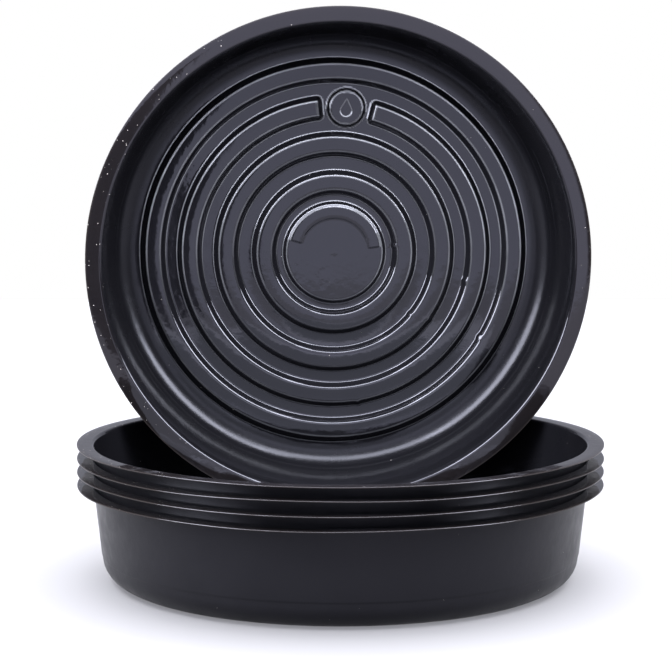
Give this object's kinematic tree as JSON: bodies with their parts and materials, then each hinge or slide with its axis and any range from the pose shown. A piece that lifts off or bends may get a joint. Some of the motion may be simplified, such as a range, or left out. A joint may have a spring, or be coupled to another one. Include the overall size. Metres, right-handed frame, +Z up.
{
  "type": "plant saucer set",
  "caption": "Nest of round black plastic plant saucers with ribbed floors and flat rims, and another stood on its rim in the top saucer, facing forward.",
  "frame": {"origin": "on the ground at the centre of the stack's resting face, at the middle of the set's box", "axes": "+Z up along the axis of the nested saucers, -Y to the front, which is the way the standing saucer opens, and +X to the right as seen from the front"},
  "size_m": [0.305, 0.305, 0.3308],
  "materials": {
    "black_plastic": "glossy thermoformed black sheet, satin on the outside, slightly brown and translucent where it is thin at the rim"
  },
  "bodies": {
    "bottom_saucer": {"bottom_saucer": "black_plastic"},
    "second_saucer": {"second_saucer": "black_plastic"},
    "third_saucer": {"third_saucer": "black_plastic"},
    "top_saucer": {"top_saucer": "black_plastic"},
    "standing_saucer": {"standing_saucer": "black_plastic"}
  },
  "joints": [
    {"name": "second_saucer_lift", "type": "slide", "parent": "bottom_saucer", "child": "second_saucer", "axis": [0, 0, 1], "range_m": [0, 0.08]},
    {"name": "third_saucer_lift", "type": "slide", "parent": "second_saucer", "child": "third_saucer", "axis": [0, 0, 1], "range_m": [0, 0.08]},
    {"name": "top_saucer_lift", "type": "slide", "parent": "third_saucer", "child": "top_saucer", "axis": [0, 0, 1], "range_m": [0, 0.08]},
    {"name": "standing_saucer_lift", "type": "slide", "parent": "top_saucer", "child": "standing_saucer", "axis": [0, 0, 1], "range_m": [0, 0.08]}
  ]
}
